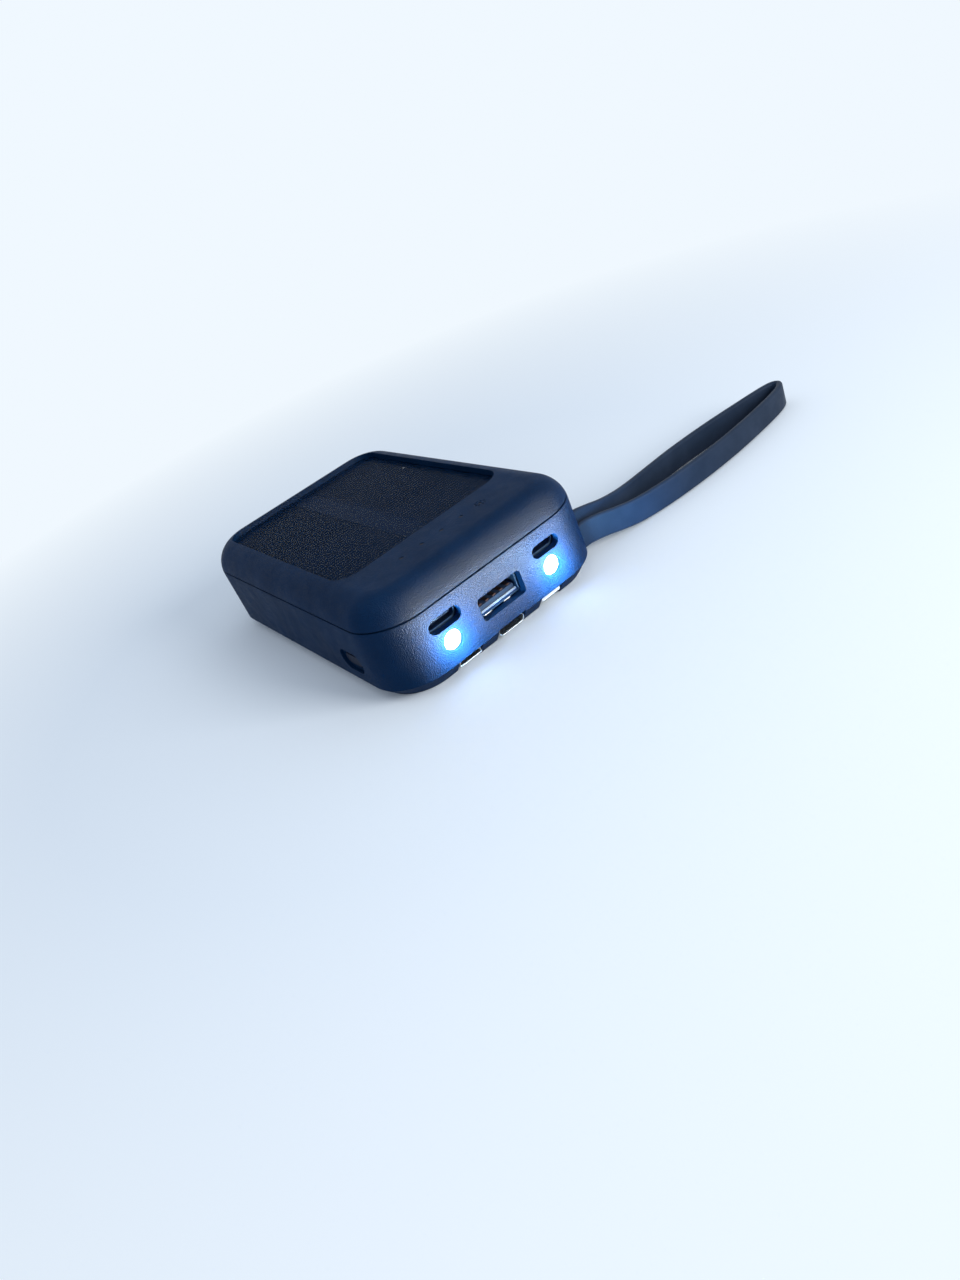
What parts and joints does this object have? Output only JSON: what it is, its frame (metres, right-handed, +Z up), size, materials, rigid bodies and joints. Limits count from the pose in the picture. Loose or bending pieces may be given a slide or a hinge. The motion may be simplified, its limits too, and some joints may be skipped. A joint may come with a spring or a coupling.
{
  "type": "solar phone charger",
  "caption": "Pocket power bank with recessed solar panel, charging sockets, torch lamps, stowed built-in cables, side button and flat strap loop.",
  "frame": {"origin": "centre of the underside of the housing, the strap left out", "axes": "+Z up through the solar panel, -Y towards the socket end, +X towards the strap"},
  "size_m": [0.1516, 0.105, 0.027],
  "materials": {
    "shell_navy": "satin",
    "button_navy": "satin",
    "cable_navy": "satin",
    "strap_navy": "satin",
    "solar_cell": "satin",
    "panel_cover": "gloss",
    "board": "satin",
    "foam": "matte",
    "wire": "satin",
    "light_guide": "gloss",
    "led": "gloss",
    "black_plastic": "matte",
    "socket_tongue": "satin",
    "contact_gold": "polished",
    "plated_steel": "satin",
    "battery_foil": "satin",
    "blade_white": "gloss"
  },
  "bodies": {
    "housing": {"upper_shell": "shell_navy", "lower_shell": "shell_navy", "panel_adhesive": "foam", "panel_backboard": "board", "solar_cells": "solar_cell", "panel_cover": "panel_cover", "solar_leads": "wire", "indicator_light_guide": "light_guide", "indicator_shroud": "black_plastic", "indicator_leds": "led", "circuit_board": "board", "board_screws": "plated_steel", "power_inductor": "black_plastic", "controller_chips": "black_plastic", "usb_a_shell": "plated_steel", "usb_a_tongue": "socket_tongue", "usb_a_contacts": "contact_gold", "type_c_socket_shell": "plated_steel", "type_c_socket_tongue": "black_plastic", "micro_socket_shell": "plated_steel", "micro_socket_tongue": "black_plastic", "torch_lamp_left": "led", "torch_lamp_right": "led", "torch_lamp_bases": "black_plastic", "button_switch": "black_plastic", "battery_cell_lower": "battery_foil", "battery_cell_upper": "battery_foil", "battery_foam": "foam", "battery_leads": "wire", "lanyard_strap": "strap_navy", "lanyard_anchor": "strap_navy", "micro_cable_root": "cable_navy", "type_c_cable_root": "cable_navy", "blade_cable_root": "cable_navy"},
    "button": {"power_button": "button_navy"},
    "micro_cable": {"micro_cable_lead": "cable_navy", "micro_plug_grip": "cable_navy", "micro_plug_shell": "plated_steel", "micro_plug_core": "black_plastic"},
    "type_c_cable": {"type_c_cable_lead": "cable_navy", "type_c_plug_grip": "cable_navy", "type_c_plug_shell": "plated_steel", "type_c_plug_core": "black_plastic"},
    "blade_cable": {"blade_cable_lead": "cable_navy", "blade_plug_grip": "cable_navy", "blade_plug_tab": "blade_white"}
  },
  "joints": [
    {"name": "button_press", "type": "slide", "parent": "housing", "child": "button", "axis": [1, 0, 0], "range_m": [0, 0.0004], "stiffness_N_per_m": 2000},
    {"name": "micro_cable_swing", "type": "hinge", "parent": "housing", "child": "micro_cable", "pos_m": [-0.0136, 0.0447, 0.0022], "axis": [1, 0, 0], "range_deg": [0, 90]},
    {"name": "type_c_cable_swing", "type": "hinge", "parent": "housing", "child": "type_c_cable", "pos_m": [0, 0.0447, 0.0022], "axis": [1, 0, 0], "range_deg": [0, 90]},
    {"name": "blade_cable_swing", "type": "hinge", "parent": "housing", "child": "blade_cable", "pos_m": [0.0136, 0.0447, 0.0022], "axis": [1, 0, 0], "range_deg": [0, 90]}
  ]
}
